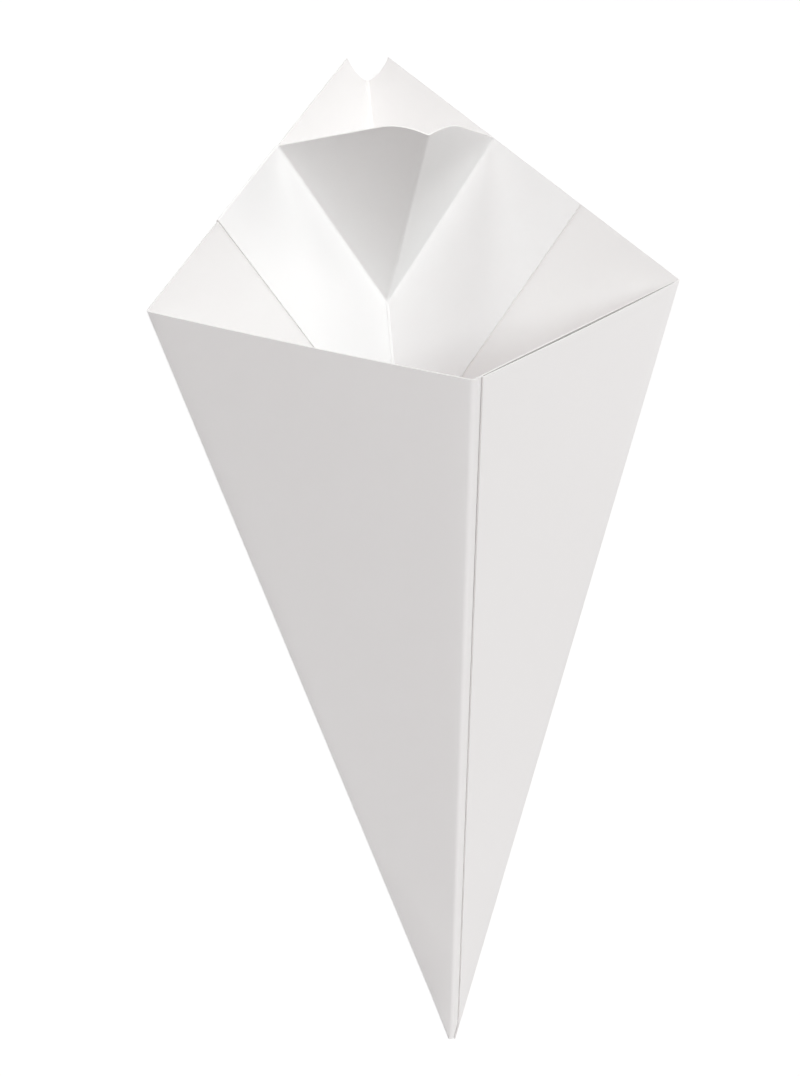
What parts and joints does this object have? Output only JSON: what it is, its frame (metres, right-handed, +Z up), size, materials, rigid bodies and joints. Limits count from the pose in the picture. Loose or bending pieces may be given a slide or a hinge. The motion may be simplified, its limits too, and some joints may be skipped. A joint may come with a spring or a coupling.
{
  "type": "fries cone with dip pocket",
  "caption": "Folded white card cone for chips, open at the top, with a raised back and a small dip pocket folded forward inside it.",
  "frame": {"origin": "under the middle of the bounding box, in the outer face of the left back panel that the cone lies on", "axes": "+X from the mouth to the tip, +Y across the cone towards its back fold, +Z up, into the cone from the panel it lies on"},
  "size_m": [0.2692, 0.0958, 0.0815],
  "materials": {
    "card": "matte white coated card"
  },
  "bodies": {
    "root": {"fries_cone": "card"}
  },
  "joints": []
}
